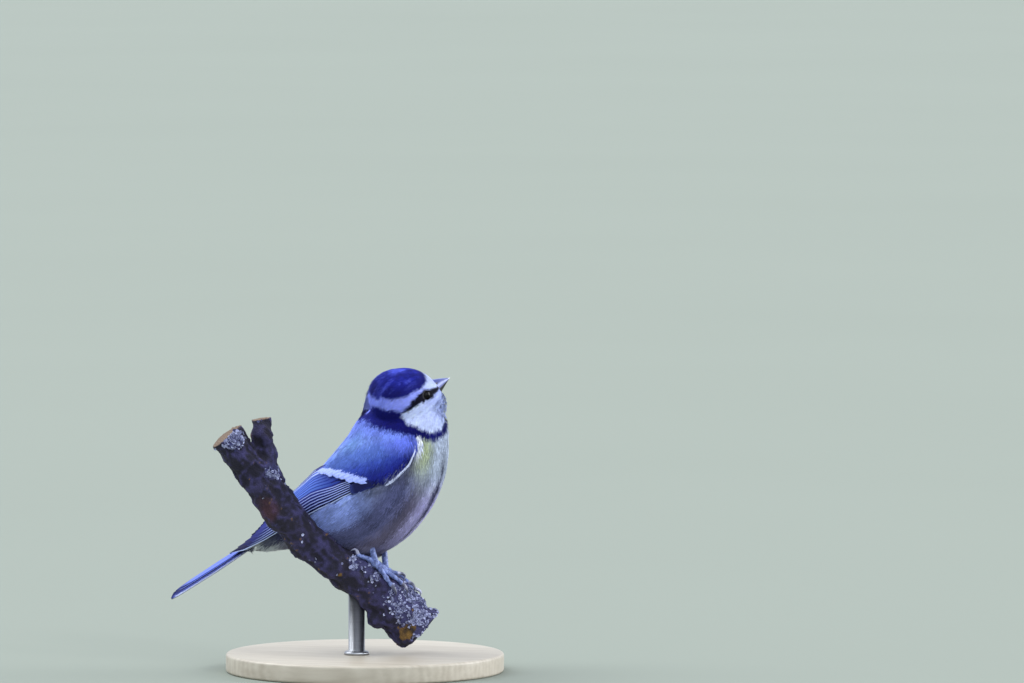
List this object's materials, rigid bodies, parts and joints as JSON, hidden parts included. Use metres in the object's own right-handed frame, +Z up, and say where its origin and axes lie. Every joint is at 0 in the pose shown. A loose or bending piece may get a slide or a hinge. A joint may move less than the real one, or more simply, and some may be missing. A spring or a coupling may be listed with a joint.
{
  "type": "blue tit",
  "caption": "Life-size still model of a blue tit looking up over its shoulder, gripping a short cut branch on a plain round stand.",
  "frame": {"origin": "middle of the underside of the stand's base", "axes": "+Z up, the bird's breast faces +X and its left side is +Y"},
  "size_m": [0.1005, 0.082, 0.0896],
  "materials": {
    "head_feathers": "soft matt small feathers: violet-blue cap, white cheek and brow, dark eye stripe",
    "collar_feathers": "soft matt small feathers, dark navy",
    "mantle_feathers": "soft matt small feathers, slate blue with a green tinge",
    "breast_feathers": "soft matt small feathers, pale yellow-green to blue-grey",
    "belly_feathers": "soft matt small feathers, pale grey with a dark midline",
    "wing_feathers": "smooth barbed vanes, blue with pale edges and a white bar",
    "tail_feathers": "smooth barbed vanes, light blue with dark shafts",
    "bill_horn": "smooth horn, blue-black with a pale cutting edge",
    "eye": "glossy dark brown-black",
    "foot_skin": "scaled skin, blue-grey",
    "bark": "rough dark bark with grey and ochre lichen",
    "stand_wood": "fine turned wood, waxed",
    "stand_metal": "satin steel"
  },
  "bodies": {
    "root": {"head": "head_feathers", "bill_upper": "bill_horn", "bill_lower": "bill_horn", "eye_left": "eye", "eye_right": "eye", "neck": "collar_feathers", "mantle": "mantle_feathers", "breast": "breast_feathers", "rump": "mantle_feathers", "belly": "belly_feathers", "tail": "tail_feathers", "wing_right": "wing_feathers", "wing_left": "wing_feathers", "foot_right": "foot_skin", "foot_left": "foot_skin", "tarsus_right": "foot_skin", "tarsus_left": "foot_skin", "perch_branch": "bark", "stand_base": "stand_wood", "stand_rod": "stand_metal"}
  },
  "joints": []
}
